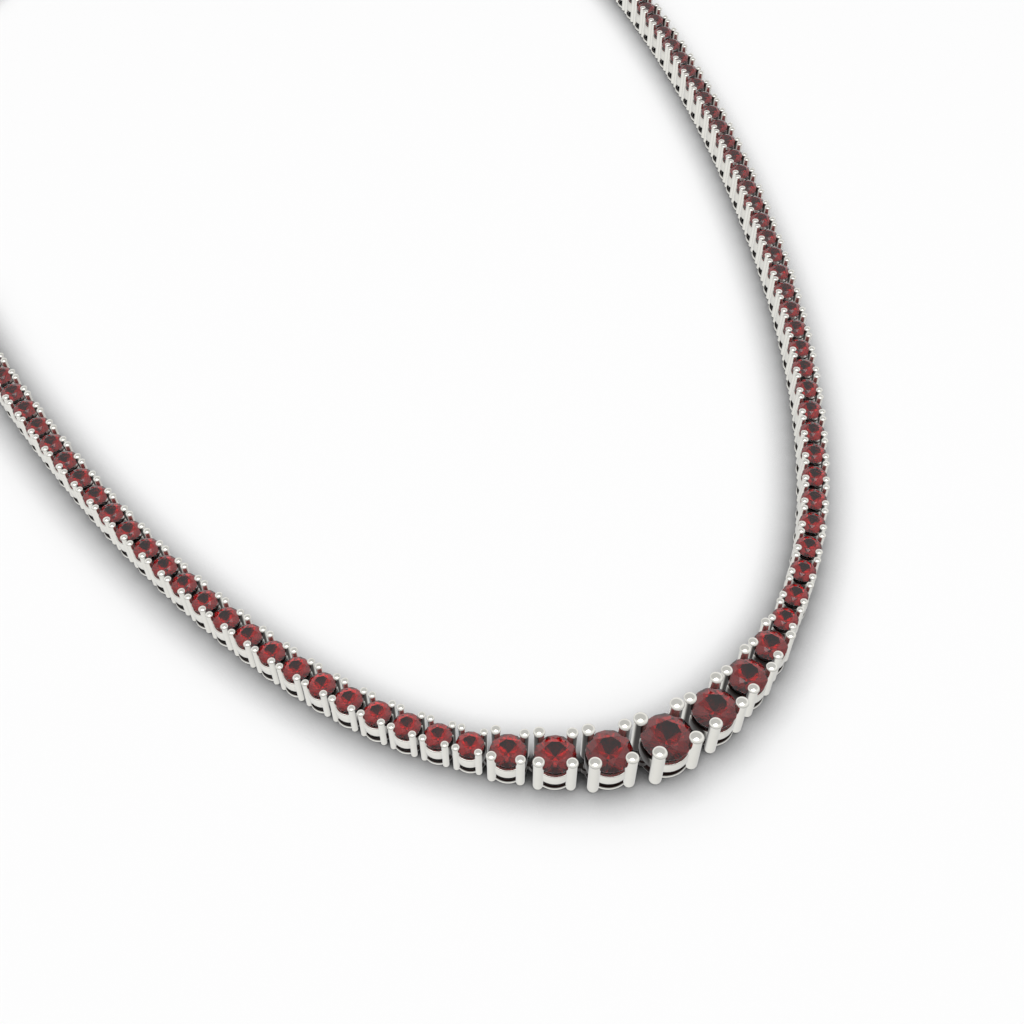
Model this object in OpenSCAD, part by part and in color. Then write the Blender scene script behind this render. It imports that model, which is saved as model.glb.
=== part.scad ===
// Graduated ruby necklace: a closed row of four-prong links that lies flat, stones up.
// The centre stone is at the front, towards -Y, and the clasp at the back, towards +Y.

/* [Stones] */
// Diameter of the centre stone
centre_stone_d = 5; // [4.8:0.1:5.2]
// Drop in diameter from the centre stone to each graduated stone after it
stone_step = 0.5; // [0.4:0.05:0.5]
// Diameter of the equal stones of the chain
chain_stone_d = 2.75; // [2.7:0.05:2.9]
// Width of the table, as a share of the stone's diameter
table_share = 0.53; // [0.5:0.01:0.6]
// Height of the crown, as a share of the stone's diameter
crown_share = 0.15; // [0.13:0.01:0.17]
// Depth of the pavilion, as a share of the stone's diameter
pavilion_share = 0.43; // [0.4:0.01:0.45]
// Turn of a stone in its setting; at 22.5 a flat side of the table faces the next stone
stone_turn = 22.5; // [0:4.5:45]

/* [Chain link] */
// Length of half a link, from the middle of its stone to the middle of the gap beside it
link_half_len = 1.6; // [1.6:0.01:1.75]
// Side of the square on which the four prongs stand
prong_square = 2.2; // [2.15:0.01:2.3]
// Radius of a prong
prong_r = 0.32; // [0.28:0.005:0.33]
// Radius of the head on a prong
head_r = 0.4; // [0.36:0.005:0.405]
// Height of the head on a prong
head_h = 0.22; // [0.18:0.01:0.3]
// Outer radius of the band and of the ring below it
band_r = 1.5; // [1.45:0.01:1.5]
// Thickness of the wall of the band and ring
band_wall = 0.3; // [0.25:0.01:0.4]
// Height of the ring above the surface that the necklace lies on
ring_lift = 0.1; // [0.05:0.05:0.3]
// Height of the ring
ring_h = 0.35; // [0.3:0.05:0.5]
// Height of the window between ring and band
window_h = 0.85; // [0.7:0.01:1]
// Height of the band
band_h = 1.45; // [1.2:0.05:1.6]
// Height from the band up to the stone's girdle
seat_h = 0.52; // [0.45:0.01:0.6]
// Height from the girdle up to the top of the prong heads
prong_rise = 1.09; // [0.9:0.01:1.2]

/* [Hinge] */
// Radius of the upright hinge pin in the window of a link
pin_r = 0.2; // [0.18:0.01:0.22]
// Wall of the eye that turns on the pin
eye_wall = 0.22; // [0.18:0.01:0.25]
// Width of the arm that carries the eye
arm_w = 0.5; // [0.4:0.01:0.6]
// Free space between parts that move or fit together
clearance = 0.11; // [0.1:0.01:0.12]

/* [Clasp] */
// Width of the clasp
clasp_w = 3.8; // [3.4:0.1:4.4]
// Height of the clasp
clasp_h = 3; // [2.6:0.1:3.6]
// Radius of the clasp's rounded edges
clasp_round = 0.7; // [0.5:0.1:1]
// Shortest distance between the two hinge pins that the clasp joins
clasp_min_len = 8; // [7:0.5:9]

/* [Lie of the necklace] */
// Length along each side, from the centre stone to where the round back begins
side_len = 134; // [126:1:142]

/* [Hidden] */
graduated_per_side = 3;
right = 1;
left = -1;
facets = 48;
right_angle = 90;
half_turn = 180;

// Growth of each link size for every millimetre that its stone is larger than a chain stone
link_half_len_growth = 0.637;
prong_square_growth = 0.74;
prong_r_growth = 0.138;
head_r_growth = 0.145;
head_h_growth = 0.05;
band_r_growth = 0.444;
band_wall_growth = 0.06;
seat_h_growth = 0.22;
prong_rise_growth = 0.402;

// Free height above and below the girdle in its notch
notch_room = 1.4 * clearance;

// Ends of the star facets and of the lower girdle facets, as shares of the girdle's radius
mains = 8;
step = 360 / mains;
half_step = step / 2;
star_share = (table_share * cos(half_step) + 1) / 2;
lower_share = 0.25;
function crown_level(share) = crown_share * (1 - share * cos(half_step)) / (1 - table_share);
function pavilion_level(share) = pavilion_share * (1 - share * cos(half_step));

// Bend of one side: [distance from the centre stone, radius of the bend there]
bend_rows = [
    [0, 19],
    [12, 36.7],
    [30, 52.5],
    [42, 116],
    [80, 246]
];

// How much larger than a chain stone a stone of diameter d is
function over(d) = d - chain_stone_d;

// Sizes of the link that holds a stone of diameter d
function half_len_of(d) = link_half_len + link_half_len_growth * over(d);
function square_of(d) = prong_square + prong_square_growth * over(d);
function prong_r_of(d) = prong_r + prong_r_growth * over(d);
function head_r_of(d) = head_r + head_r_growth * over(d);
function head_h_of(d) = head_h + head_h_growth * over(d);
function band_r_of(d) = band_r + band_r_growth * over(d);
function band_wall_of(d) = band_wall + band_wall_growth * over(d);
window_z = ring_lift + ring_h;
band_z = window_z + window_h;
band_top = band_z + band_h;
function girdle_z_of(d) = band_top + seat_h + seat_h_growth * over(d);
function link_h_of(d) = girdle_z_of(d) + prong_rise + prong_rise_growth * over(d);

// The hinge between two links: a pin at the far end of one, an eye on the near end of the next
pin_inset = 0.15;
pin_bite = 0.1;
eye_hole_r = pin_r + clearance;
eye_r = eye_hole_r + eye_wall;
eye_z = window_z + clearance;
eye_h = window_h - 2 * clearance;
function pin_reach_of(d) = band_r_of(d) - pin_inset;
function eye_reach_of(d, next_d) = half_len_of(d) + half_len_of(next_d) - pin_reach_of(d);

// Diameter of the stone that stands i places from the centre stone
function stone_d_of(i) = i > graduated_per_side ? chain_stone_d : centre_stone_d - stone_step * i;

// Bend and heading at distance s along a side, and then round the back on one arc
bends = [for (row = bend_rows) [row[0], 1 / row[1]]];
function sum(list) = list * [for (value = list) 1];
function to_degrees(turn) = turn * half_turn / PI;
function side_turn(s) = sum([
    for (i = [0:len(bends) - 1])
        let (
            start = min(s, bends[i][0]),
            end = i == len(bends) - 1 ? s : min(s, bends[i + 1][0])
        )
        max(0, end - start) * (lookup(start, bends) + lookup(end, bends)) / 2
]);
side_heading = to_degrees(side_turn(side_len));
side_x = sum([for (s = [0.5:1:side_len]) cos(to_degrees(side_turn(s)))]);
back_r = side_x / sin(side_heading);
half_loop_len = side_len + back_r * (half_turn - side_heading) * PI / half_turn;
function heading_at(s) = s < side_len
    ? to_degrees(side_turn(s))
    : side_heading + to_degrees((s - side_len) / back_r);

// Links of one side, from the centre outwards: [stone diameter, centre, heading]
graduated_len = sum([
    for (i = [0:graduated_per_side]) half_len_of(stone_d_of(i)) * (i == 0 ? 1 : 2)
]);
chain_link_count = floor(
    (half_loop_len - graduated_len - clasp_min_len / 2) / (2 * link_half_len)
);
link_count = 1 + graduated_per_side + chain_link_count;
function ahead(heading) = [cos(heading), sin(heading)];
function next_link(link, s, next_d) =
    let (
        heading = heading_at(s),
        hinge = link[1] + pin_reach_of(link[0]) * ahead(link[2])
    )
    [next_d, hinge + eye_reach_of(link[0], next_d) * ahead(heading), heading];
function row_from(link, i, s) = i == link_count - 1
    ? [link]
    : let (
        next_d = stone_d_of(i + 1),
        next_s = s + half_len_of(link[0]) + half_len_of(next_d)
    )
    concat([link], row_from(next_link(link, next_s, next_d), i + 1, next_s));
links = row_from([centre_stone_d, [0, 0], 0], 0, 0);
last_link = links[link_count - 1];
last_pin = last_link[1] + pin_reach_of(chain_stone_d) * ahead(last_link[2]);

// Middle of the whole necklace, which becomes the origin
front_y = -max(
    band_r_of(centre_stone_d),
    square_of(centre_stone_d) / 2 + head_r_of(centre_stone_d)
);
back_y = last_pin[1] + clasp_w / 2;
middle_y = (front_y + back_y) / 2;

// Puts link i on its side of the necklace, with its +X pointing away from the centre stone
module in_place(i, side) {
    link = links[i];
    heading = side == right ? link[2] : half_turn - link[2];
    translate([side * link[1][0], link[1][1] - middle_y, 0]) rotate(heading) children();
}

// Notch in the prongs in which the girdle sits, as high as the girdle facets of the stone need
module girdle_notch(d) {
    bite = d / 2 + prong_r_of(d) - square_of(d) / sqrt(2);
    up = bite * 2 * crown_level(star_share) / (1 - star_share) + notch_room;
    down = bite * 2 * pavilion_level(lower_share) / (1 - lower_share) + notch_room;
    translate([0, 0, girdle_z_of(d) - down])
        cylinder(r = d / 2 + clearance, h = up + down, $fn = facets);
}

module prong(d) {
    r = prong_r_of(d);
    head = head_r_of(d);
    top = link_h_of(d);
    under = top - head_h_of(d);
    edge = head_h_of(d) / 3;
    rotate_extrude($fn = facets) polygon([
        [0, 0],
        [r, 0],
        [r, under - (head - r)],
        [head, under],
        [head, top - edge],
        [head - edge, top],
        [0, top]
    ]);
}

module prongs(d) {
    half = square_of(d) / 2;
    difference() {
        union() {
            for (x = [-half, half], y = [-half, half]) {
                translate([x, y, 0]) prong(d);
            }
        }
        girdle_notch(d);
    }
}

module hoop(d, z, h) {
    r = band_r_of(d);
    wall = band_wall_of(d);
    translate([r - wall, z]) square([wall, h]);
}

module gallery(d) {
    rotate_extrude($fn = facets) {
        hoop(d, ring_lift, ring_h);
        hoop(d, band_z, band_h);
    }
}

module hinge_pin(d) {
    translate([pin_reach_of(d), 0, window_z - pin_bite])
        cylinder(r = pin_r, h = window_h + 2 * pin_bite, $fn = facets);
}

// Eye on an arm that starts at x = root and points to -X
module eye_arm(root, reach) {
    difference() {
        union() {
            translate([-reach, 0, eye_z]) cylinder(r = eye_r, h = eye_h, $fn = facets);
            translate([-reach, -arm_w / 2, eye_z]) cube([reach - root, arm_w, eye_h]);
        }
        translate([-reach, 0, 0]) cylinder(r = eye_hole_r, h = band_z, $fn = facets);
    }
}

module hinge_eye(d, reach) {
    inner = band_r_of(d) - band_wall_of(d);
    translate([-inner - band_wall_of(d) * 0.9, -arm_w / 2, window_z - pin_bite])
        cube([band_wall_of(d) * 0.9, arm_w, window_h + 2 * pin_bite]);
    eye_arm(inner, reach);
}

module setting(i, side) {
    d = stone_d_of(i);
    color("gainsboro") in_place(i, side) {
        prongs(d);
        gallery(d);
        hinge_pin(d);
        if (i == 0) rotate(half_turn) hinge_pin(d);
        else hinge_eye(d, eye_reach_of(stone_d_of(i - 1), d));
    }
}

// Round brilliant: table, 8 stars, 8 kites, 16 upper and 16 lower girdle facets, 8 mains
module stone(i, side) {
    d = stone_d_of(i);
    girdle_r = d / 2;
    function ring(share, z, first) = [
        for (k = [0:mains - 1])
            [share * girdle_r * cos(first + step * k), share * girdle_r * sin(first + step * k), z]
    ];
    points = concat(
        ring(table_share, crown_share * d, 0),
        ring(star_share, crown_level(star_share) * d, half_step),
        ring(1, 0, 0),
        ring(1, 0, half_step),
        ring(lower_share, -pavilion_level(lower_share) * d, half_step),
        [[0, 0, -pavilion_share * d]]
    );
    // Point numbers: t table, s star, g girdle at a kite, h girdle between kites, l lower
    culet = 5 * mains;
    facet_list = concat(
        [[for (k = [mains - 1:-1:0]) k]],
        [for (k = [0:mains - 1])
            let (
                n = (k + 1) % mains,
                before = (k + mains - 1) % mains,
                t = k, t_next = n,
                s = mains + k, s_before = mains + before,
                g = 2 * mains + k, g_next = 2 * mains + n,
                h = 3 * mains + k,
                l = 4 * mains + k, l_before = 4 * mains + before
            )
            each [
                [t, t_next, s],
                [t, s, g, s_before],
                [s, h, g],
                [s, g_next, h],
                [l, g, h],
                [l, h, g_next],
                [g, l, culet, l_before]
            ]]
    );
    color("firebrick") in_place(i, side) translate([0, 0, girdle_z_of(d)]) rotate(stone_turn)
        polyhedron(points = points, faces = facet_list);
}

first_chain_link = graduated_per_side + 1;

module chain_settings(side) {
    for (i = [first_chain_link:link_count - 1]) setting(i, side);
}

module chain_stones(side) {
    for (i = [first_chain_link:link_count - 1]) stone(i, side);
}

module rounded(size) {
    r = clasp_round;
    translate([-size[0] / 2 + r, -size[1] / 2]) square([size[0] - 2 * r, size[1]]);
    translate([-size[0] / 2, -size[1] / 2 + r]) square([size[0], size[1] - 2 * r]);
    for (x = [r - size[0] / 2, size[0] / 2 - r], y = [r - size[1] / 2, size[1] / 2 - r]) {
        translate([x, y]) circle(r, $fn = facets);
    }
}

// One plain box that joins the last two hinge pins
module clasp() {
    body_len = 2 * (last_pin[0] - eye_r);
    color("gainsboro") translate([0, last_pin[1] - middle_y, 0]) {
        intersection() {
            linear_extrude(clasp_h) rounded([body_len, clasp_w]);
            translate([0, clasp_w / 2, clasp_h / 2]) rotate([right_angle, 0, 0])
                linear_extrude(clasp_w) rounded([body_len, clasp_h]);
        }
        eye_arm(body_len / 2 - clasp_round, last_pin[0]);
        rotate(half_turn) eye_arm(body_len / 2 - clasp_round, last_pin[0]);
    }
}

setting(0, right);  // centre_setting
stone(0, right);  // centre_stone
setting(1, right);  // right_setting_1
setting(2, right);  // right_setting_2
setting(3, right);  // right_setting_3
stone(1, right);  // right_stone_1
stone(2, right);  // right_stone_2
stone(3, right);  // right_stone_3
setting(1, left);  // left_setting_1
setting(2, left);  // left_setting_2
setting(3, left);  // left_setting_3
stone(1, left);  // left_stone_1
stone(2, left);  // left_stone_2
stone(3, left);  // left_stone_3
chain_settings(right);  // right_chain_settings
chain_stones(right);  // right_chain_stones
chain_settings(left);  // left_chain_settings
chain_stones(left);  // left_chain_stones
clasp();
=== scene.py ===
import math

import bmesh
import bpy
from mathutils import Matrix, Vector


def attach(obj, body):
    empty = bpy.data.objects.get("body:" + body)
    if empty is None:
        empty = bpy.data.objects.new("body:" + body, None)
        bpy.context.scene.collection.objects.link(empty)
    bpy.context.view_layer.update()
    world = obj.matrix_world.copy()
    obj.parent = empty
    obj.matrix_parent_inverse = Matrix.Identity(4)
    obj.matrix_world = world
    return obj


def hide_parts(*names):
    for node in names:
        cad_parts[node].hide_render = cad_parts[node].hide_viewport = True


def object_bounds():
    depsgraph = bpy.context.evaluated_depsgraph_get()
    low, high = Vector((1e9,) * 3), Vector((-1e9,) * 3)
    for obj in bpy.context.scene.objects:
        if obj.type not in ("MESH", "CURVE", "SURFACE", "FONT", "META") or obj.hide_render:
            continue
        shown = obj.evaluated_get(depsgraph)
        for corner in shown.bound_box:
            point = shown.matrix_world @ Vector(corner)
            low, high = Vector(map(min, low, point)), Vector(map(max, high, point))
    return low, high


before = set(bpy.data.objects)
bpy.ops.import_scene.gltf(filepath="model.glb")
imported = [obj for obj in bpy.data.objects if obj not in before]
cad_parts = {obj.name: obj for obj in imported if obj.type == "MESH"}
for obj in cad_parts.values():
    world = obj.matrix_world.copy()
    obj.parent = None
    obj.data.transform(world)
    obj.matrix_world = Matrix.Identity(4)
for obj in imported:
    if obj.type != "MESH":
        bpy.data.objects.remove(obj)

cadLow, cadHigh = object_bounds()
mm = 0.001


def linear(hexColour):  # sRGB hex to the linear colour that a shader takes
    parts = [int(hexColour[i:i + 2], 16) / 255 for i in (1, 3, 5)]
    return [c / 12.92 if c <= 0.04045 else ((c + 0.055) / 1.055) ** 2.4 for c in parts] + [1.0]


def addNode(tree, kind, settings=None, links=None):
    # settings: property or socket -> value; links: input socket -> output socket
    node = tree.nodes.new(kind)
    for key, value in (settings or {}).items():
        if isinstance(key, str) and hasattr(node, key):
            setattr(node, key, value)
        else:
            node.inputs[key].default_value = value
    for key, source in (links or {}).items():
        tree.links.new(source, node.inputs[key])
    return node


# Sizes of the necklace, in millimetres
stone = {
    "centre": 5.0,  # diameter of the largest stone
    "step": 0.5,  # each graduated stone is this much smaller than the one before
    "chain": 2.75,  # diameter of the equal stones
    "graduated": 3,  # graduated stones on each side
    "table": 0.53,  # shares of the diameter from here on
    "crown": 0.15,
    "pavilion": 0.43,
    "girdle": 0.022,
    "lower": 0.25,  # radius at which the pavilion mains are widest, as a share of the girdle's
    "scallop": 0.25,  # how much thinner the girdle is between the mains, on each side
    "turn": 22.5,  # degrees: a flat side of the table faces the next stone
}
link = {  # value for a chain stone, and its growth for each millimetre of a larger stone
    "halfLength": (1.6, 0.637),
    "prongSquare": (2.2, 0.74),
    "prongRadius": (0.32, 0.138),
    "headRadius": (0.4, 0.145),
    "bandRadius": (1.5, 0.444),
    "bandWall": (0.3, 0.06),
    "seatHeight": (0.52, 0.22),
    "prongRise": (1.09, 0.402),
}
gallery = {
    "ringLift": 0.1,  # ring above the surface
    "ringHeight": 0.35,
    "window": 0.85,  # gap between ring and band
    "bandHeight": 1.45,
    "edgeRadius": 0.08,  # rounding of the ring and the band
    "pinInset": 0.15,  # hinge pin from the band's outer face
    "claspMin": 8.0,
}
detail = {  # sides and rings of the meshes: fine on the large settings, coarse on the chain
    "fine": {"prongSides": 32, "hoopSides": 96, "footRings": 3, "rimRings": 4, "domeRings": 5},
    "coarse": {"prongSides": 14, "hoopSides": 32, "footRings": 1, "rimRings": 2, "domeRings": 3},
}
lie = {
    "sideLength": 134.0,  # from the centre stone to the round back
    "bends": [(0, 19), (12, 36.7), (30, 52.5), (42, 116), (80, 246)],  # arc length, radius
}


def size(name, d):
    base, growth = link[name]
    return base + growth * (d - stone["chain"])


def bandBottom():
    return gallery["ringLift"] + gallery["ringHeight"] + gallery["window"]


def girdleHeight(d):
    return bandBottom() + gallery["bandHeight"] + size("seatHeight", d)


def prongTop(d):
    return girdleHeight(d) + size("prongRise", d)


def stoneDiameter(i):
    return stone["chain"] if i > stone["graduated"] else stone["centre"] - stone["step"] * i


# Lie of the row: the bend 1/R changes evenly between the rows of lie["bends"]
def bendAt(s):
    rows = lie["bends"]
    if s >= rows[-1][0]:
        return 1 / rows[-1][1]
    for (s0, r0), (s1, r1) in zip(rows, rows[1:]):
        if s0 <= s <= s1:
            return 1 / r0 + (1 / r1 - 1 / r0) * (s - s0) / (s1 - s0)


def sideTurn(s):  # heading in radians at arc length s, by exact trapezia between the rows
    turn = 0.0
    rows = [row[0] for row in lie["bends"]] + [math.inf]
    for start, end in zip(rows, rows[1:]):
        if s > start:
            end = min(end, s)
            turn += (end - start) * (bendAt(start) + bendAt(end)) / 2
    return turn


def layRow():
    # one side from the centre stone outwards: (stone diameter, x, y, heading), and the last hinge pin
    side = lie["sideLength"]
    sideX = sum(math.cos(sideTurn(k + 0.5)) for k in range(int(side)))
    sideHeading = sideTurn(side)
    backRadius = sideX / math.sin(sideHeading)
    halfLoop = side + backRadius * (math.pi - sideHeading)

    def headingAt(s):
        return sideTurn(s) if s < side else sideHeading + (s - side) / backRadius

    graduated = [stoneDiameter(i) for i in range(stone["graduated"] + 1)]
    graduatedLength = 2 * sum(size("halfLength", d) for d in graduated) - size("halfLength", graduated[0])
    chainLength = halfLoop - graduatedLength - gallery["claspMin"] / 2
    chainCount = chainLength // (2 * size("halfLength", stone["chain"]))
    links = [(stone["centre"], 0.0, 0.0, 0.0)]
    s = 0.0
    for i in range(1, stone["graduated"] + int(chainCount) + 1):
        d0, x, y, heading = links[-1]
        d1 = stoneDiameter(i)
        s += size("halfLength", d0) + size("halfLength", d1)
        pin = size("bandRadius", d0) - gallery["pinInset"]
        eye = size("halfLength", d0) + size("halfLength", d1) - pin
        turned = headingAt(s)
        x += pin * math.cos(heading) + eye * math.cos(turned)
        y += pin * math.sin(heading) + eye * math.sin(turned)
        links.append((d1, x, y, turned))
    d, x, y, heading = links[-1]
    pin = size("bandRadius", d) - gallery["pinInset"]
    return links, (x + pin * math.cos(heading), y + pin * math.sin(heading))


sideLinks, lastPin = layRow()
centreReach = size("prongSquare", stone["centre"]) / 2 + size("headRadius", stone["centre"])
frontY = -max(size("bandRadius", stone["centre"]), centreReach)
middleY = frontY + (cadHigh.y - cadLow.y) / mm / 2
print("row laid:", len(sideLinks), "links a side, last pin at", [round(v, 3) for v in lastPin])


def placed(i, side):  # (x, y, heading) of link i in the frame, in metres
    d, x, y, heading = sideLinks[i]
    return side * x * mm, (y - middleY) * mm, heading if side > 0 else math.pi - heading


def pointCloud(name, places):  # one loose vertex for each link, with its heading as an attribute
    mesh = bpy.data.meshes.new(name)
    mesh.from_pydata([(x, y, 0) for x, y, heading in places], [], [])
    headings = mesh.attributes.new("heading", "FLOAT", "POINT")
    for k, (x, y, heading) in enumerate(places):
        headings.data[k].value = heading
    obj = bpy.data.objects.new(name, mesh)
    bpy.context.scene.collection.objects.link(obj)
    return obj


def helperObject(name, mesh):  # a shape that a node tree reads; removed before the end
    obj = bpy.data.objects.new(name, mesh)
    bpy.context.scene.collection.objects.link(obj)
    helpers.append(obj)
    return obj


helpers = []


def newTree(name, inputs):
    tree = bpy.data.node_groups.new(name, "GeometryNodeTree")
    tree.interface.new_socket("Geometry", in_out="INPUT", socket_type="NodeSocketGeometry")
    for socketName, kind in inputs:
        tree.interface.new_socket(socketName, in_out="INPUT", socket_type="NodeSocket" + kind)
    tree.interface.new_socket("Geometry", in_out="OUTPUT", socket_type="NodeSocketGeometry")
    return tree


def runTree(obj, tree, values):
    # sets each named input by its identifier, evaluates once and keeps the plain mesh
    modifier = obj.modifiers.new(tree.name, "NODES")
    modifier.node_group = tree
    for item in tree.interface.items_tree:
        if item.in_out == "INPUT" and item.name in values:
            modifier[item.identifier] = values[item.name]
    obj.update_tag()
    bpy.context.view_layer.update()
    mesh = bpy.data.meshes.new_from_object(obj.evaluated_get(bpy.context.evaluated_depsgraph_get()))
    obj.modifiers.remove(modifier)
    mesh.name = obj.name
    obj.data = mesh


# Shade mask: 1 where painted shade darkens the metal between the links and inside the gallery, 0 on the faces
# that look out of the row's sides, and on the heads.
# Reflection mask: 1 on the faces of the prongs' upper ends that look at their own stone, which get a painted
# reflection of its red instead of painted shade.
# Both follow where a face looks: a share out of the row's side or at the stone, from -1 to 1.
recess = {
    "prong": (-0.5, -0.05),  # all painted shade below the first share, none above the second
    "hoop": (0.45, 0.7),  # the same on the band and the ring
    "stoneward": (0.35, 0.75),  # painted reflection of the stone: none below the first share, all above the second
}


def storePaintedLightMasks(tree, geometry, reach, topFrom, headUnder, stoneFrom):
    # stores both masks on the geometry's points; a prong gets the painted reflection of its stone above the
    # height stoneFrom
    position = addNode(tree, "GeometryNodeInputPosition").outputs[0]
    normal = addNode(tree, "GeometryNodeInputNormal").outputs[0]
    place = addNode(tree, "ShaderNodeSeparateXYZ", links={0: position})
    facing = addNode(tree, "ShaderNodeSeparateXYZ", links={0: normal})
    side = addNode(tree, "ShaderNodeMath", {"operation": "SIGN"}, {0: place.outputs["Y"]})
    outward = addNode(tree, "ShaderNodeMath", {"operation": "MULTIPLY"},
                      {0: side.outputs[0], 1: facing.outputs["Y"]})
    flat = addNode(tree, "ShaderNodeCombineXYZ", links={0: place.outputs["X"], 1: place.outputs["Y"]})
    fromMiddle = addNode(tree, "ShaderNodeVectorMath", {"operation": "NORMALIZE"}, {0: flat.outputs[0]})
    across = addNode(tree, "ShaderNodeSeparateXYZ", links={0: fromMiddle.outputs[0]})
    aside = addNode(tree, "ShaderNodeMath", {"operation": "ABSOLUTE"}, {0: across.outputs["Y"]})
    height = place.outputs["Z"]
    upper = addNode(tree, "ShaderNodeMath", {"operation": "GREATER_THAN"}, {0: height, 1: topFrom})
    upperAside = addNode(tree, "ShaderNodeMath", {"operation": "MULTIPLY"},
                         {0: upper.outputs[0], 1: aside.outputs[0]})
    onTop = addNode(tree, "ShaderNodeMath", {"operation": "MULTIPLY"},
                    {0: facing.outputs["Z"], 1: upperAside.outputs[0]})
    seen = addNode(tree, "ShaderNodeMath", {"operation": "ADD"}, {0: outward.outputs[0], 1: onTop.outputs[0]})
    share = addNode(tree, "ShaderNodeMapRange", {
        "interpolation_type": "SMOOTHSTEP",
        "From Min": reach[0], "From Max": reach[1], "To Min": 1.0, "To Max": 0.0,
    }, {"Value": seen.outputs[0]})
    away = addNode(tree, "ShaderNodeVectorMath", {"operation": "DOT_PRODUCT"},
                   {0: fromMiddle.outputs[0], 1: normal})
    low, high = recess["stoneward"]
    toStone = addNode(tree, "ShaderNodeMapRange", {
        "interpolation_type": "SMOOTHSTEP", "From Min": -high, "From Max": -low, "To Min": 1.0, "To Max": 0.0,
    }, {"Value": away.outputs["Value"]})
    either = addNode(tree, "ShaderNodeMath", {"operation": "MAXIMUM"},
                     {0: share.outputs[0], 1: toStone.outputs[0]})
    below = addNode(tree, "ShaderNodeMath", {"operation": "LESS_THAN"}, {0: height, 1: headUnder})
    value = addNode(tree, "ShaderNodeMath", {"operation": "MULTIPLY"},
                    {0: either.outputs[0], 1: below.outputs[0]})
    beside = addNode(tree, "ShaderNodeMath", {"operation": "GREATER_THAN"}, {0: height, 1: stoneFrom})
    mirror = addNode(tree, "ShaderNodeMath", {"operation": "MULTIPLY"},
                     {0: toStone.outputs[0], 1: beside.outputs[0]})
    for name, result in (("recess", value), ("stoneward", mirror)):
        geometry = addNode(tree, "GeometryNodeStoreNamedAttribute", {"data_type": "FLOAT", "Name": name},
                           {"Geometry": geometry, "Value": result.outputs[0]}).outputs[0]
    return geometry


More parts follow.
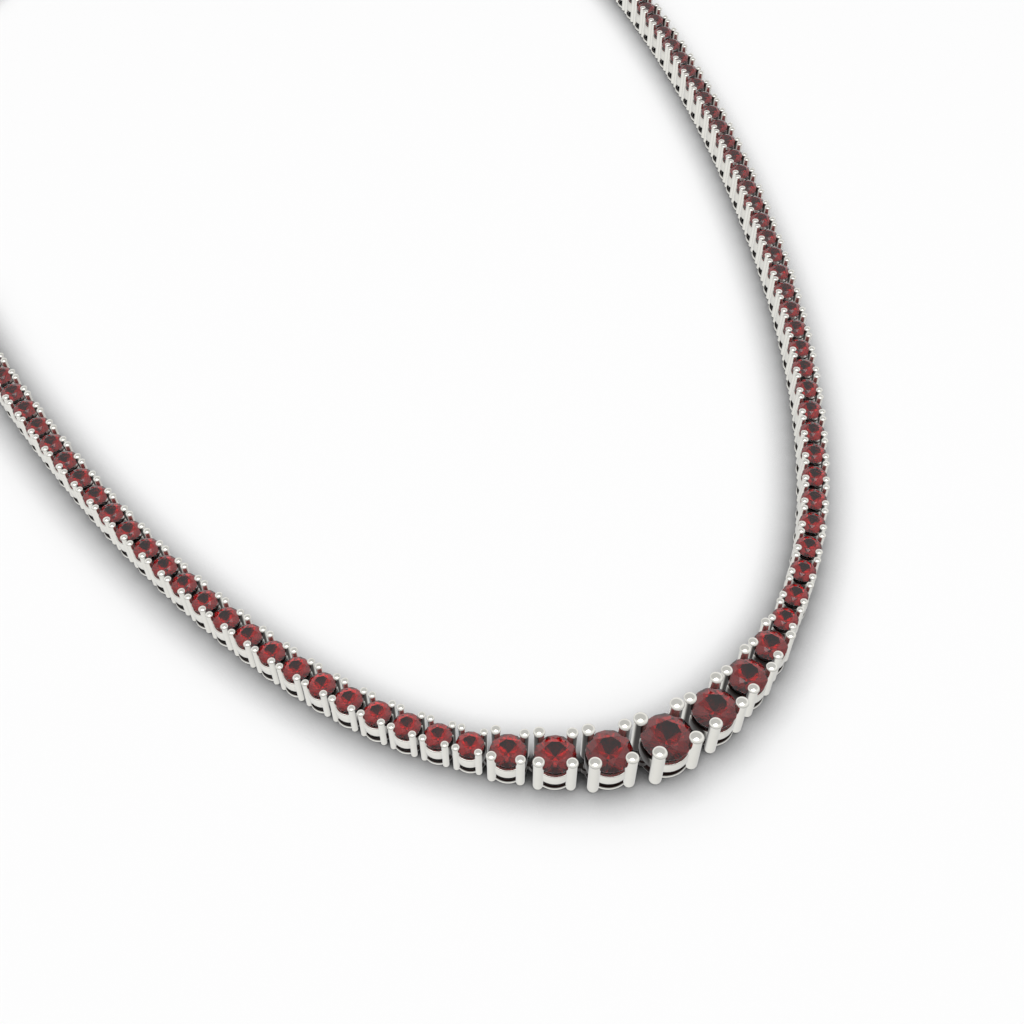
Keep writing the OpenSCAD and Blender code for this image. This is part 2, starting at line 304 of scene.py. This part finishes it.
# Tree for a row of prong settings. The object's own points are the middles of the links.
def settingTree():
    tree = newTree("prongSettings", [
        ("Prong Profile", "Object"), ("Prong Sides", "Int"), ("Prong Square", "Float"),
        ("Band Radius", "Float"), ("Band Wall", "Float"), ("Band Bottom", "Float"), ("Band Height", "Float"),
        ("Ring Lift", "Float"), ("Ring Height", "Float"), ("Hoop Sides", "Int"), ("Edge Radius", "Float"),
        ("Head Under", "Float"), ("Hinge", "Object"), ("Metal", "Material"),
    ])
    inp = addNode(tree, "NodeGroupInput").outputs
    # prong: a circle swept up the axis, as wide at each height as the profile says
    profile = addNode(tree, "GeometryNodeObjectInfo", links={"Object": inp["Prong Profile"]})
    axis = addNode(tree, "GeometryNodeMeshToCurve", links={"Mesh": profile.outputs["Geometry"]})
    width = addNode(tree, "GeometryNodeInputNamedAttribute", {"data_type": "FLOAT", "Name": "width"})
    shaped = addNode(tree, "GeometryNodeSetCurveRadius",
                     links={"Curve": axis.outputs[0], "Radius": width.outputs["Attribute"]})
    unitCircle = addNode(tree, "GeometryNodeCurvePrimitiveCircle", {"Radius": 1.0},
                         {"Resolution": inp["Prong Sides"]})
    prong = addNode(tree, "GeometryNodeCurveToMesh", {"Fill Caps": True},
                    {"Curve": shaped.outputs[0], "Profile Curve": unitCircle.outputs["Curve"],
                     "Scale": width.outputs["Attribute"]})
    smoothProng = addNode(tree, "GeometryNodeSetShadeSmooth", links={"Geometry": prong.outputs[0]})
    corners = addNode(tree, "GeometryNodeMeshGrid", {"Vertices X": 2, "Vertices Y": 2},
                      {"Size X": inp["Prong Square"], "Size Y": inp["Prong Square"]})
    prongs = addNode(tree, "GeometryNodeInstanceOnPoints",
                     links={"Points": corners.outputs["Mesh"], "Instance": smoothProng.outputs[0]})
    prongsReal = addNode(tree, "GeometryNodeRealizeInstances", links={0: prongs.outputs[0]})
    bandBottom, headUnder = inp["Band Bottom"], inp["Head Under"]
    parts = [storePaintedLightMasks(tree, prongsReal.outputs[0], recess["prong"], bandBottom, headUnder, bandBottom)]
    # band and ring: a rounded rectangle swept round a circle
    for bottom, height in (("Band Bottom", "Band Height"), ("Ring Lift", "Ring Height")):
        middleRadius = addNode(tree, "ShaderNodeMath", {"operation": "MULTIPLY_ADD", 1: -0.5},
                               {0: inp["Band Wall"], 2: inp["Band Radius"]})
        path = addNode(tree, "GeometryNodeCurvePrimitiveCircle",
                       links={"Radius": middleRadius.outputs[0], "Resolution": inp["Hoop Sides"]})
        section = addNode(tree, "GeometryNodeCurvePrimitiveQuadrilateral",
                          links={"Width": inp["Band Wall"], "Height": inp[height]})
        rounded = addNode(tree, "GeometryNodeFilletCurve", {"mode": "POLY", "Count": 2},
                          {"Curve": section.outputs[0], "Radius": inp["Edge Radius"]})
        hoop = addNode(tree, "GeometryNodeCurveToMesh",
                       links={"Curve": path.outputs["Curve"], "Profile Curve": rounded.outputs[0]})
        smoothHoop = addNode(tree, "GeometryNodeSetShadeSmooth", links={"Geometry": hoop.outputs[0]})
        lift = addNode(tree, "ShaderNodeMath", {"operation": "MULTIPLY_ADD", 1: 0.5},
                       {0: inp[height], 2: inp[bottom]})
        up = addNode(tree, "ShaderNodeCombineXYZ", links={"Z": lift.outputs[0]})
        raised = addNode(tree, "GeometryNodeTransform",
                         links={"Geometry": smoothHoop.outputs[0], "Translation": up.outputs[0]})
        parts.append(storePaintedLightMasks(tree, raised.outputs[0], recess["hoop"], bandBottom, headUnder, headUnder))
    hinge = addNode(tree, "GeometryNodeObjectInfo", links={"Object": inp["Hinge"]})
    # painted shade: the whole hinge is dark, as it sits in the shade under the band
    hidden = addNode(tree, "GeometryNodeStoreNamedAttribute",
                     {"data_type": "FLOAT", "Name": "recess", "Value": 1.0},
                     {"Geometry": hinge.outputs["Geometry"]})
    parts.append(hidden.outputs[0])
    joined = addNode(tree, "GeometryNodeJoinGeometry")
    for part in parts:
        tree.links.new(part, joined.inputs[0])
    heading = addNode(tree, "GeometryNodeInputNamedAttribute", {"data_type": "FLOAT", "Name": "heading"})
    turn = addNode(tree, "ShaderNodeCombineXYZ", links={"Z": heading.outputs["Attribute"]})
    row = addNode(tree, "GeometryNodeInstanceOnPoints", links={
        "Points": inp["Geometry"], "Instance": joined.outputs[0], "Rotation": turn.outputs[0],
    })
    real = addNode(tree, "GeometryNodeRealizeInstances", links={0: row.outputs[0]})
    finished = addNode(tree, "GeometryNodeSetMaterial",
                       links={"Geometry": real.outputs[0], "Material": inp["Metal"]})
    addNode(tree, "NodeGroupOutput", links={0: finished.outputs[0]})
    return tree


# Tree for a row of stones: the same points, one cut stone on each
def stoneTree():
    tree = newTree("setStones", [("Stone", "Object"), ("Height", "Float"), ("Gem", "Material")])
    inp = addNode(tree, "NodeGroupInput").outputs
    cut = addNode(tree, "GeometryNodeObjectInfo", links={"Object": inp["Stone"]})
    up = addNode(tree, "ShaderNodeCombineXYZ", links={"Z": inp["Height"]})
    raised = addNode(tree, "GeometryNodeTransform",
                     links={"Geometry": cut.outputs["Geometry"], "Translation": up.outputs[0]})
    heading = addNode(tree, "GeometryNodeInputNamedAttribute", {"data_type": "FLOAT", "Name": "heading"})
    turn = addNode(tree, "ShaderNodeCombineXYZ", links={"Z": heading.outputs["Attribute"]})
    row = addNode(tree, "GeometryNodeInstanceOnPoints", links={
        "Points": inp["Geometry"], "Instance": raised.outputs[0], "Rotation": turn.outputs[0],
    })
    real = addNode(tree, "GeometryNodeRealizeInstances", links={0: row.outputs[0]})
    finished = addNode(tree, "GeometryNodeSetMaterial",
                       links={"Geometry": real.outputs[0], "Material": inp["Gem"]})
    addNode(tree, "NodeGroupOutput", links={0: finished.outputs[0]})
    return tree


# Prong profile: straight wire with a slightly rounded foot and a button head
prong = {
    "footRound": 0.3,  # of the wire's radius
    "neck": 0.42,  # height of the head's lower edge under its top, in head radii
    "flare": 0.12,  # height over which the wire widens into the head, in head radii
    "rimRound": 0.2,  # radius of the head's rounded edge, in head radii
    "domeTilt": 28.0,  # degrees: slope of the low dome where it meets the rounded edge
    "straightEnd": 0.15,  # of the wire's radius: short collars, between which the wire looks straight
    "underRim": 0.985,  # radius at the head's lower edge, in head radii
}


def prongProfile(d, grade):  # (height, radius) from the foot up, in millimetres, as a line with a width
    r, head, top = size("prongRadius", d), size("headRadius", d), prongTop(d)
    foot, rim, tilt = prong["footRound"] * r, prong["rimRound"] * head, math.radians(prong["domeTilt"])
    footRings, rimRings, domeRings = grade["footRings"], grade["rimRings"], grade["domeRings"]
    points = []
    for k in range(footRings + 1):
        a = math.pi / 2 * (1 - k / footRings)
        points.append((foot * (1 - math.sin(a)), r - foot * (1 - math.cos(a))))
    neckZ = top - prong["neck"] * head
    collar, flareZ = prong["straightEnd"] * r, neckZ - prong["flare"] * head
    points += [(foot + collar, r), (flareZ - collar, r), (flareZ, r), (neckZ, prong["underRim"] * head)]
    domeRadius = (head - rim + rim * math.sin(tilt)) / math.sin(tilt)
    rimZ = top - domeRadius * (1 - math.cos(tilt)) - rim * math.cos(tilt)  # middle of the rounded edge
    for k in range(rimRings + 1):
        a = math.pi / 2 + (tilt - math.pi / 2) * k / rimRings
        points.append((rimZ + rim * math.cos(a), head - rim + rim * math.sin(a)))
    for k in range(1, domeRings):
        a = tilt * (1 - k / domeRings)
        points.append((top - domeRadius * (1 - math.cos(a)), domeRadius * math.sin(a)))
    mesh = bpy.data.meshes.new("prongProfile")
    mesh.from_pydata([(0, 0, z * mm) for z, w in points], [(k, k + 1) for k in range(len(points) - 1)], [])
    widths = mesh.attributes.new("width", "FLOAT", "POINT")
    for k, (z, w) in enumerate(points):
        widths.data[k].value = w * mm
    return mesh


# Hinge: upright pin at +X, and an eye on an arm at -X that turns on the pin of the link before
hinge = {
    "pinRadius": 0.2,
    "play": 0.11,
    "eyeWall": 0.22,
    "armWidth": 0.5,
    "bite": 0.1,  # how far the pin and the arm's root run into the metal
    "rootReach": 0.9,  # of the band's wall, that the arm's root fills
    "sides": 16,
}


def addCylinder(bm, x, z0, z1, radius, sides):
    made = bmesh.ops.create_cone(bm, cap_ends=True, segments=sides, radius1=radius * mm, radius2=radius * mm,
                                 depth=(z1 - z0) * mm)
    bmesh.ops.translate(bm, verts=made["verts"], vec=(x * mm, 0, (z0 + z1) / 2 * mm))


def addBlock(bm, low, high):
    made = bmesh.ops.create_cube(bm, size=1.0)
    for v in made["verts"]:
        v.co = Vector([(low[k] if v.co[k] < 0 else high[k]) * mm for k in range(3)])


def addEyeArm(bm, root, reach):
    # a washer on the pin and the arm that carries it, in one closed outline pulled up
    z0 = gallery["ringLift"] + gallery["ringHeight"] + hinge["play"]
    z1 = bandBottom() - hinge["play"]
    hole = hinge["pinRadius"] + hinge["play"]
    outer = hole + hinge["eyeWall"]
    n = hinge["sides"]
    half = math.asin(hinge["armWidth"] / 2 / outer)
    ring = [half + (2 * math.pi - 2 * half) * k / n for k in range(n + 1)]
    inner = [(-reach + hole * math.cos(a), hole * math.sin(a)) for a in ring]
    outside = [(-reach + outer * math.cos(a), outer * math.sin(a)) for a in ring]
    arm = [(-root, -hinge["armWidth"] / 2), (-root, hinge["armWidth"] / 2)]
    verts = {}
    for level, z in enumerate((z0, z1)):
        for name, outline in (("in", inner), ("out", outside), ("arm", arm)):
            for k, (x, y) in enumerate(outline):
                verts[name, k, level] = bm.verts.new((x * mm, y * mm, z * mm))
    last = n
    for k in range(n):
        bm.faces.new([verts["in", k, 0], verts["in", k + 1, 0], verts["out", k + 1, 0], verts["out", k, 0]])
        bm.faces.new([verts["in", k, 1], verts["out", k, 1], verts["out", k + 1, 1], verts["in", k + 1, 1]])
        bm.faces.new([verts["in", k, 0], verts["in", k, 1], verts["in", k + 1, 1], verts["in", k + 1, 0]])
        bm.faces.new([verts["out", k, 0], verts["out", k + 1, 0], verts["out", k + 1, 1], verts["out", k, 1]])
    for level in (0, 1):
        bm.faces.new([verts["in", last, level], verts["in", 0, level], verts["out", 0, level],
                      verts["arm", 1, level], verts["arm", 0, level], verts["out", last, level]])
    bm.faces.new([verts["in", last, 0], verts["in", last, 1], verts["in", 0, 1], verts["in", 0, 0]])
    bm.faces.new([verts["out", 0, 0], verts["arm", 1, 0], verts["arm", 1, 1], verts["out", 0, 1]])
    bm.faces.new([verts["arm", 1, 0], verts["arm", 0, 0], verts["arm", 0, 1], verts["arm", 1, 1]])
    bm.faces.new([verts["arm", 0, 0], verts["out", last, 0], verts["out", last, 1], verts["arm", 0, 1]])


def meshFrom(bm, name):
    bmesh.ops.recalc_face_normals(bm, faces=bm.faces)
    mesh = bpy.data.meshes.new(name)
    bm.to_mesh(mesh)
    bm.free()
    return mesh


def hingeMesh(d, previous):
    bm = bmesh.new()
    low = gallery["ringLift"] + gallery["ringHeight"] - hinge["bite"]
    high = bandBottom() + hinge["bite"]
    pin = size("bandRadius", d) - gallery["pinInset"]
    addCylinder(bm, pin, low, high, hinge["pinRadius"], hinge["sides"])
    if previous is None:
        addCylinder(bm, -pin, low, high, hinge["pinRadius"], hinge["sides"])
    else:
        wall = size("bandWall", d)
        inner = size("bandRadius", d) - wall
        half = hinge["armWidth"] / 2
        addBlock(bm, (-inner - wall * hinge["rootReach"], -half, low), (-inner, half, high))
        previousPin = size("bandRadius", previous) - gallery["pinInset"]
        addEyeArm(bm, inner, size("halfLength", d) + size("halfLength", previous) - previousPin)
    return meshFrom(bm, "hinge")


# Round brilliant with 57 facets over and under a thin polished girdle
def brilliantMesh(d):
    r = d / 2
    tableR, crownH, pavilionH = stone["table"] * r, stone["crown"] * d, stone["pavilion"] * d
    girdle = stone["girdle"] * d
    belt = girdle / 2
    step, half = math.pi / 4, math.pi / 8
    starR = (tableR * math.cos(half) + r) / 2
    starZ = crownH * (r - starR * math.cos(half)) / (r - tableR)
    lowerR = stone["lower"] * r
    lowerZ = -pavilionH * (1 - lowerR * math.cos(half) / r)
    scallop = stone["scallop"] * girdle
    bm = bmesh.new()

    def ring(radius, z, first):
        angles = [math.radians(stone["turn"]) + first + step * k for k in range(8)]
        return [bm.verts.new((radius * math.cos(a) * mm, radius * math.sin(a) * mm, z * mm)) for a in angles]

    table = ring(tableR, crownH + belt, 0)
    star = ring(starR, starZ + belt, half)
    upper, upperHalf = ring(r, belt, 0), ring(r, belt - scallop, half)
    under, underHalf = ring(r, -belt, 0), ring(r, scallop - belt, half)
    lower = ring(lowerR, lowerZ - belt, half)
    culet = bm.verts.new((0, 0, (-pavilionH - belt) * mm))
    bm.faces.new(table)
    for k in range(8):
        n, b = (k + 1) % 8, (k - 1) % 8
        bm.faces.new([table[n], table[k], star[k]])
        bm.faces.new([table[k], star[b], upper[k], star[k]])
        bm.faces.new([star[k], upper[k], upperHalf[k]])
        bm.faces.new([star[k], upperHalf[k], upper[n]])
        bm.faces.new([upper[k], under[k], underHalf[k], upperHalf[k]])
        bm.faces.new([upperHalf[k], underHalf[k], under[n], upper[n]])
        bm.faces.new([under[k], lower[k], underHalf[k]])
        bm.faces.new([underHalf[k], lower[k], under[n]])
        bm.faces.new([under[k], lower[b], culet, lower[k]])
    return meshFrom(bm, "brilliant")


# Rhodium-plated white gold, cast and tumble polished: bright, a little warm, with hair-fine polishing marks
def whiteGoldMaterial():
    look = {
        "bright": "#EFEEE8",  # reflectance of rhodium over 14 carat white gold
        "worn": "#ECEAE2",  # where the plating is thinner
        "paintedShadeColour": "#2E2A28",  # painted shade between the links and inside the gallery
        "stoneward": "#F0D0C8",  # painted reflection of the red of the stone beside it
        "roughness": (0.06, 0.1),  # from the brightest patch to the dullest
        "recessedRoughness": 0.35,
        "cloud": 1.2,  # mm between dull and bright patches
        "cloudShare": (0.3, 0.7),  # values of the noise at the brightest and the dullest
        "marks": 0.06,  # mm between polishing marks, drawn coarser than the real 0.01 mm
        "marksStretch": (1.0, 1.0, 0.25),  # they run up and down
        "marksDepth": 0.01,  # mm
        "marksStrength": 0.015,
    }
    material = bpy.data.materials.new("whiteGoldRhodium")
    material.use_nodes = True
    tree = material.node_tree
    shader = tree.nodes["Principled BSDF"]
    shader.inputs["Metallic"].default_value = 1.0
    place = addNode(tree, "ShaderNodeTexCoord")
    cloud = addNode(tree, "ShaderNodeTexNoise", {"Scale": 1 / (look["cloud"] * mm), "Detail": 3.0},
                    {"Vector": place.outputs["Object"]})
    tint = addNode(tree, "ShaderNodeMix",
                   {"data_type": "RGBA", 6: linear(look["bright"]), 7: linear(look["worn"])},
                   {0: cloud.outputs["Fac"]})
    # painted shade, with a rougher finish, where the mask is 1, and beside a stone a painted reflection of
    # its red
    paintedLightAndDull = addNode(tree, "ShaderNodeAttribute", {"attribute_name": "recess"}).outputs["Fac"]
    byStone = addNode(tree, "ShaderNodeAttribute", {"attribute_name": "stoneward"}).outputs["Fac"]
    shade = addNode(tree, "ShaderNodeMix",
                    {"data_type": "RGBA", 6: linear(look["paintedShadeColour"]), 7: linear(look["stoneward"])},
                    {0: byStone})
    tintAndPaintedLight = addNode(tree, "ShaderNodeMix", {"data_type": "RGBA"},
                     {0: paintedLightAndDull, 6: tint.outputs[2], 7: shade.outputs[2]})
    tree.links.new(tintAndPaintedLight.outputs[2], shader.inputs["Base Color"])
    (cloudLow, cloudHigh), (low, high) = look["cloudShare"], look["roughness"]
    gloss = addNode(tree, "ShaderNodeMapRange", {
        "From Min": cloudLow, "From Max": cloudHigh, "To Min": low, "To Max": high,
    }, {"Value": cloud.outputs["Fac"]})
    roughness = addNode(tree, "ShaderNodeMix", {"data_type": "FLOAT", 3: look["recessedRoughness"]},
                        {0: paintedLightAndDull, 2: gloss.outputs[0]})
    tree.links.new(roughness.outputs[0], shader.inputs["Roughness"])
    stretched = addNode(tree, "ShaderNodeMapping", {"Scale": look["marksStretch"]},
                        {"Vector": place.outputs["Object"]})
    marks = addNode(tree, "ShaderNodeTexNoise", {"Scale": 1 / (look["marks"] * mm), "Detail": 2.0},
                    {"Vector": stretched.outputs[0]})
    bump = addNode(tree, "ShaderNodeBump",
                   {"Strength": look["marksStrength"], "Distance": look["marksDepth"] * mm},
                   {"Height": marks.outputs["Fac"]})
    tree.links.new(bump.outputs[0], shader.inputs["Normal"])
    return material


# Ruby, a corundum cut and polished: clear, deep red inside, sharp reflections on the facets
def rubyMaterial():
    look = {
        "body": "#E82C34",  # tint at each passage of a facet
        "glow": "#DF0510",  # the light that gets through
        "density": 980.0,  # per metre, so a 5 mm path loses the green and blue
        "ior": 1.768,
        "roughness": 0.0,
    }
    material = bpy.data.materials.new("rubyCorundum")
    material.use_nodes = True
    tree = material.node_tree
    shader = tree.nodes["Principled BSDF"]
    shader.inputs["Base Color"].default_value = linear(look["body"])
    shader.inputs["Transmission Weight"].default_value = 1.0
    shader.inputs["IOR"].default_value = look["ior"]
    shader.inputs["Roughness"].default_value = look["roughness"]
    soak = addNode(tree, "ShaderNodeVolumeAbsorption",
                   {"Color": linear(look["glow"]), "Density": look["density"]})
    tree.links.new(soak.outputs[0], tree.nodes["Material Output"].inputs["Volume"])
    return material


whiteGold = whiteGoldMaterial()
ruby = rubyMaterial()
settingNodes, stoneNodes = settingTree(), stoneTree()
print("materials and node trees made")


def makeSettings(name, node, indices, side):
    first = indices[0]
    d = stoneDiameter(first)
    onChain = first > stone["graduated"]
    grade = detail["coarse" if onChain else "fine"]
    previous = stone["chain"] if onChain else None if first == 0 else stoneDiameter(first - 1)
    obj = pointCloud(name, [placed(i, side) for i in indices])
    values = {
        "Prong Profile": helperObject("profile", prongProfile(d, grade)),
        "Prong Sides": grade["prongSides"],
        "Prong Square": size("prongSquare", d) * mm,
        "Band Radius": size("bandRadius", d) * mm,
        "Band Wall": size("bandWall", d) * mm,
        "Band Bottom": bandBottom() * mm,
        "Band Height": gallery["bandHeight"] * mm,
        "Ring Lift": gallery["ringLift"] * mm,
        "Ring Height": gallery["ringHeight"] * mm,
        "Hoop Sides": grade["hoopSides"],
        "Edge Radius": gallery["edgeRadius"] * mm,
        "Head Under": (prongTop(d) - (prong["neck"] + prong["flare"] / 2) * size("headRadius", d)) * mm,
        "Hinge": helperObject("hinge", hingeMesh(d, previous)),
        "Metal": whiteGold,
    }
    runTree(obj, settingNodes, values)
    obj.visible_glossy = False  # facets and prongs don't mirror the metal, which would show as hard squares
    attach(obj, "root")
    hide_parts(node)


def makeStones(name, node, indices, side):
    d = stoneDiameter(indices[0])
    obj = pointCloud(name, [placed(i, side) for i in indices])
    runTree(obj, stoneNodes, {
        "Stone": helperObject("stone", brilliantMesh(d)),
        "Height": girdleHeight(d) * mm,
        "Gem": ruby,
    })
    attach(obj, "root")
    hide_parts(node)


makeSettings("centreSetting", "centre_setting", [0], 1)
makeStones("centreStone", "centre_stone", [0], 1)
chainIndices = list(range(stone["graduated"] + 1, len(sideLinks)))
for sideName, side in (("right", 1), ("left", -1)):
    for i in range(1, stone["graduated"] + 1):
        makeSettings(f"{sideName}Setting{i}", f"{sideName}_setting_{i}", [i], side)
        makeStones(f"{sideName}Stone{i}", f"{sideName}_stone_{i}", [i], side)
    makeSettings(f"{sideName}ChainSettings", f"{sideName}_chain_settings", chainIndices, side)
    makeStones(f"{sideName}ChainStones", f"{sideName}_chain_stones", chainIndices, side)
for helper in helpers:
    bpy.data.objects.remove(helper)
print("settings and stones made")

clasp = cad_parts["clasp"]
clasp.data.materials.clear()
clasp.data.materials.append(whiteGold)
print("clasp finished")

# Pale floor of matt white card, with a painted soft grey shadow close to the row
floorLook = {
    "size": 1.5,  # metres
    "albedo": 0.86,
    "roughness": 0.9,
    "contact": 0.004,  # metres within which a painted shadow darkens the floor's colour near the row
    "contactSamples": 5,
}
floorMaterial = bpy.data.materials.new("whiteCard")
floorMaterial.use_nodes = True
floorShader = floorMaterial.node_tree.nodes["Principled BSDF"]
# painted shadow: ambient occlusion darkens the floor's colour near the row
contact = addNode(floorMaterial.node_tree, "ShaderNodeAmbientOcclusion", {
    "samples": floorLook["contactSamples"], "Distance": floorLook["contact"],
    "Color": [floorLook["albedo"]] * 3 + [1],
})
floorMaterial.node_tree.links.new(contact.outputs["Color"], floorShader.inputs["Base Color"])
floorShader.inputs["Roughness"].default_value = floorLook["roughness"]
floorShader.inputs["Specular IOR Level"].default_value = 0.0
floorMesh = bpy.data.meshes.new("floor")
reach = floorLook["size"] / 2
corners = [(-reach, -reach, 0), (reach, -reach, 0), (reach, reach, 0), (-reach, reach, 0)]
floorMesh.from_pydata(corners, [], [(0, 1, 2, 3)])
floor = bpy.data.objects.new("floor", floorMesh)
floorMesh.materials.append(floorMaterial)
bpy.context.scene.collection.objects.link(floor)
floor.visible_glossy = False
print("floor laid")

# Soft studio light. The room is what the metal and the stones mirror: pale above, grey at the wall behind the
# camera and pale grey below, with a grey card ahead of the necklace and a bright softbox overhead. The floor
# takes its light and soft shadows from one wide diffuser, deepened close to the row by a painted shadow in
# its colour, and is hidden from the mirrors so that they see no shadow in it.
light = {
    "room": 0.96,  # brightness of the ceiling
    "level": 0.5,  # of the wall behind the camera at the height of the necklace, as a share of the ceiling's
    "below": 0.8,  # and of the table
    "ceilingFrom": 0.85,  # sine of the height above the horizon where the ceiling has its full brightness
    "farWall": 0.8,  # added to that sine straight ahead, where the wall is as bright as the ceiling
    "tableFrom": -0.5,  # sine of the depth below the horizon where the table has its own brightness
    "tableSlope": 0.2,  # how much the table gains towards tableAzimuth, which rounds the prongs
    "tableAzimuth": 239.0,  # degrees clockwise from +Y
    "card": {"height": 56.0, "wide": 42.0, "tall": 33.0, "brightness": 0.6},  # degrees: height, half sizes
    "softbox": {"height": 89.0, "wide": 22.0, "tall": 12.0, "brightness": 2.2},
    "softEdge": (0.7, 1.3),  # of both panels: squared distance from the middle, in half sizes
    "azimuth": 24.0,  # of both panels and of the wall straight ahead, degrees clockwise from +Y
    "backdrop": 0.85,  # what shows past the floor's edge
    "diffuserSize": 1.9,  # metres
    "diffuserPlace": (0.0, -0.05, 0.6),  # metres
    "diffuserPower": 14.3,  # watts
}
world = bpy.data.worlds.new("studio")
bpy.context.scene.world = world
world.use_nodes = True
room = world.node_tree
direction = addNode(room, "ShaderNodeTexCoord").outputs["Generated"]


def panel(height, wide, tall, brightness, around):
    # brightness of an oval panel with soft edges, and around it the brightness given
    azimuth, lift = math.radians(light["azimuth"]), math.radians(height)
    middle = Vector((math.sin(azimuth) * math.cos(lift), math.cos(azimuth) * math.cos(lift), math.sin(lift)))
    across = Vector((math.cos(azimuth), -math.sin(azimuth), 0))
    off = []  # distance from the middle, in half sizes and squared, across and up
    for axis, reach in ((across, wide), (across.cross(middle), tall)):
        dot = addNode(room, "ShaderNodeVectorMath", {"operation": "DOT_PRODUCT", 1: axis}, {0: direction})
        share = addNode(room, "ShaderNodeMath", {"operation": "DIVIDE", 1: math.sin(math.radians(reach))},
                        {0: dot.outputs["Value"]})
        squared = addNode(room, "ShaderNodeMath", {"operation": "POWER", 1: 2.0}, {0: share.outputs[0]})
        off.append(squared.outputs[0])
    ahead = addNode(room, "ShaderNodeVectorMath", {"operation": "DOT_PRODUCT", 1: middle}, {0: direction})
    behind = addNode(room, "ShaderNodeMath", {"operation": "LESS_THAN", 1: 0.0}, {0: ahead.outputs["Value"]})
    oval = addNode(room, "ShaderNodeMath", {"operation": "ADD"}, {0: off[0], 1: off[1]})
    total = addNode(room, "ShaderNodeMath", {"operation": "MULTIPLY_ADD", 1: 9.0},  # well past the edge
                    {0: behind.outputs[0], 2: oval.outputs[0]})
    inner, outer = light["softEdge"]
    edge = addNode(room, "ShaderNodeMapRange", {
        "interpolation_type": "SMOOTHSTEP", "From Min": inner, "From Max": outer,
        "To Min": brightness, "To Max": around,
    }, {"Value": total.outputs[0]})
    return edge.outputs[0]


card = panel(**light["card"], around=light["room"])
softbox = panel(**light["softbox"], around=0.0)
above = addNode(room, "ShaderNodeMath", {"operation": "MAXIMUM"}, {0: card, 1: softbox})
upward = addNode(room, "ShaderNodeSeparateXYZ", links={0: direction}).outputs["Z"]
azimuth = math.radians(light["azimuth"])
farWall = Vector((math.sin(azimuth), math.cos(azimuth), 0)) * light["farWall"] + Vector((0, 0, 1))
lifted = addNode(room, "ShaderNodeVectorMath", {"operation": "DOT_PRODUCT", 1: farWall}, {0: direction})
walls = addNode(room, "ShaderNodeMapRange", {
    "From Min": 0.0, "From Max": light["ceilingFrom"], "To Min": light["level"], "To Max": 1.0,
}, {"Value": lifted.outputs["Value"]})
turned = math.radians(light["tableAzimuth"])
slope = Vector((math.sin(turned), math.cos(turned), 0)) * light["tableSlope"]
sloped = addNode(room, "ShaderNodeVectorMath", {"operation": "DOT_PRODUCT", 1: slope}, {0: direction})
tableTop = addNode(room, "ShaderNodeMath", {"operation": "ADD", 1: light["below"]},
                   {0: sloped.outputs["Value"]})
table = addNode(room, "ShaderNodeMapRange", {
    "From Min": light["tableFrom"], "From Max": 0.0, "To Max": light["level"],
}, {"Value": upward, "To Min": tableTop.outputs[0]})
dim = addNode(room, "ShaderNodeMath", {"operation": "MAXIMUM"}, {0: walls.outputs[0], 1: table.outputs[0]})
brightness = addNode(room, "ShaderNodeMath", {"operation": "MULTIPLY"},
                     {0: above.outputs[0], 1: dim.outputs[0]})
background = room.nodes["Background"]
background.inputs["Color"].default_value = (1, 1, 1, 1)
sight = addNode(room, "ShaderNodeLightPath").outputs["Is Camera Ray"]
backdrop = addNode(room, "ShaderNodeMix", {"data_type": "FLOAT", 3: light["backdrop"]},
                   {0: sight, 2: brightness.outputs[0]})
room.links.new(backdrop.outputs[0], background.inputs["Strength"])
world.cycles_visibility.diffuse = False
diffuser = bpy.data.lights.new("diffuser", "AREA")
diffuser.shape = "DISK"
diffuser.size = light["diffuserSize"]
diffuser.energy = light["diffuserPower"]
diffuserObject = bpy.data.objects.new("diffuser", diffuser)
diffuserObject.location = light["diffuserPlace"]
diffuserObject.visible_glossy = False
diffuserObject.visible_transmission = False
diffuserObject.visible_camera = False
bpy.context.scene.collection.objects.link(diffuserObject)
print("light set")

# Camera as in the photograph: it looks down on the front from the left of the centre stone
camera = {
    "foot": (-37.6, -48.4),  # mm from the centre stone to the point under the camera
    "height": 119.3,  # mm
    "azimuth": 24.0,  # degrees clockwise from +Y
    "down": 53.33,  # degrees below the horizon
    "focal": 1355.0,  # pixels, in a picture 1024 wide
    "picture": 1024.0,
    "sensor": 36.0,  # mm
    "clip": (0.005, 20.0),  # metres
}
cam = bpy.data.cameras.new("camera")
cam.sensor_width = camera["sensor"]
cam.lens = camera["focal"] / camera["picture"] * camera["sensor"]
cam.clip_start, cam.clip_end = camera["clip"]
camObject = bpy.data.objects.new("camera", cam)
camObject.location = (camera["foot"][0] * mm, (camera["foot"][1] - middleY) * mm, camera["height"] * mm)
camObject.rotation_euler = (math.radians(90 - camera["down"]), 0, math.radians(-camera["azimuth"]))
bpy.context.scene.collection.objects.link(camObject)
bpy.context.scene.camera = camObject
print("camera placed")

bpy.context.scene.view_settings.view_transform = "Standard"
bounces = {"max_bounces": 10, "glossy_bounces": 3, "transmission_bounces": 8, "diffuse_bounces": 2}
for name, count in bounces.items():
    setattr(bpy.context.scene.cycles, name, count)
bpy.context.scene.cycles.caustics_reflective = False  # keeps the soft dark contact shadows under the row
bpy.context.scene.cycles.caustics_refractive = False
